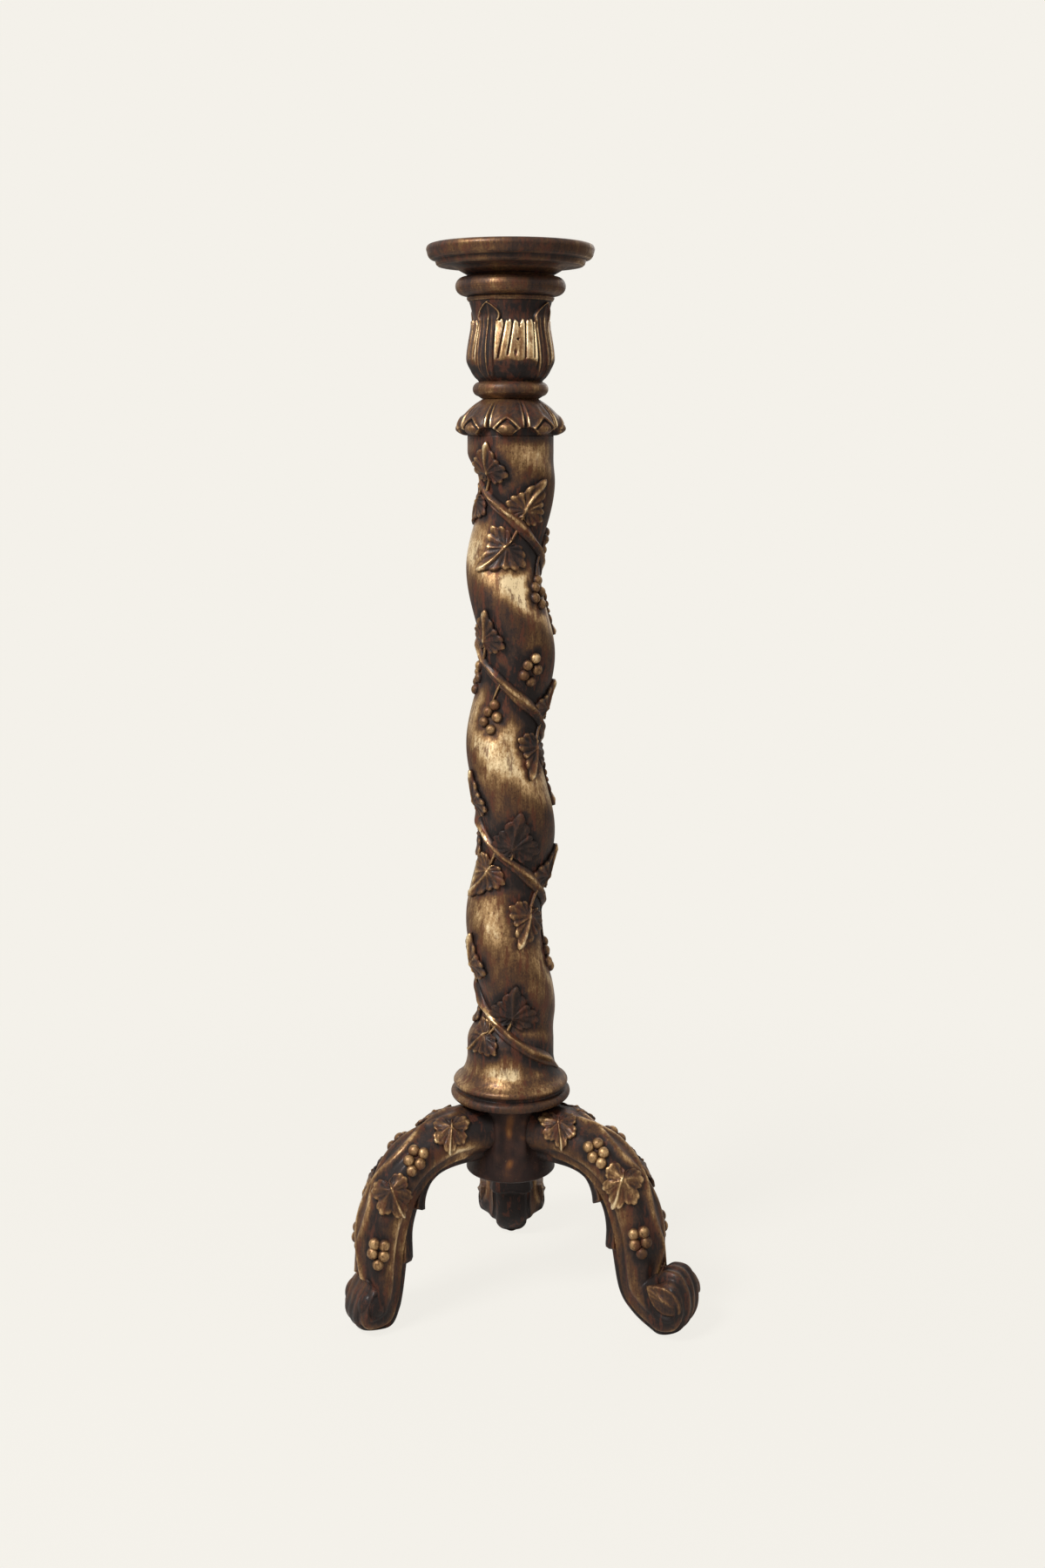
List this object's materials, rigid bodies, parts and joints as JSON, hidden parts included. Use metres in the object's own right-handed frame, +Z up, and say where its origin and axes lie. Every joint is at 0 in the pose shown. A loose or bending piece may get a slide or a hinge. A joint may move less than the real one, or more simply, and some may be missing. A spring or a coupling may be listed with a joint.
{
  "type": "torchere candle stand",
  "caption": "Tall carved and gilded candle stand: a twisted vine column with a shallow candle dish on top and a scrolled tripod below.",
  "frame": {"origin": "the column's axis at floor level, in the plane of the three soles", "axes": "+Z up along the column, -Y towards the front between the two forward legs, +X to the right seen from the front"},
  "size_m": [0.3999, 0.3394, 1.204],
  "materials": {
    "gilt": "aged gilding over dark red-brown bole on carved wood, satin, rubbed on the high parts",
    "gilt_high": "lighter aged gilding on the raised ornament, satin",
    "bole": "dark brown bole, mostly ungilded, satin",
    "beech": "bare turned beech",
    "steel": "plain steel"
  },
  "bodies": {
    "root": {"dish": "gilt", "neck_ring": "gilt", "capital": "gilt", "knop_ring": "gilt", "collar": "gilt", "column": "gilt", "column_vine": "gilt_high", "column_leaves": "gilt_high", "column_grapes": "gilt_high", "base_ring": "gilt", "hub": "bole", "leg_right": "gilt", "leg_left": "gilt", "leg_back": "gilt", "leg_right_leaves": "gilt_high", "leg_left_leaves": "gilt_high", "leg_back_leaves": "gilt_high", "leg_right_grapes": "gilt_high", "leg_left_grapes": "gilt_high", "leg_back_grapes": "gilt_high", "leg_dowels": "beech", "tie_rod": "steel", "rod_nuts": "steel", "rod_washers": "steel"}
  },
  "joints": []
}
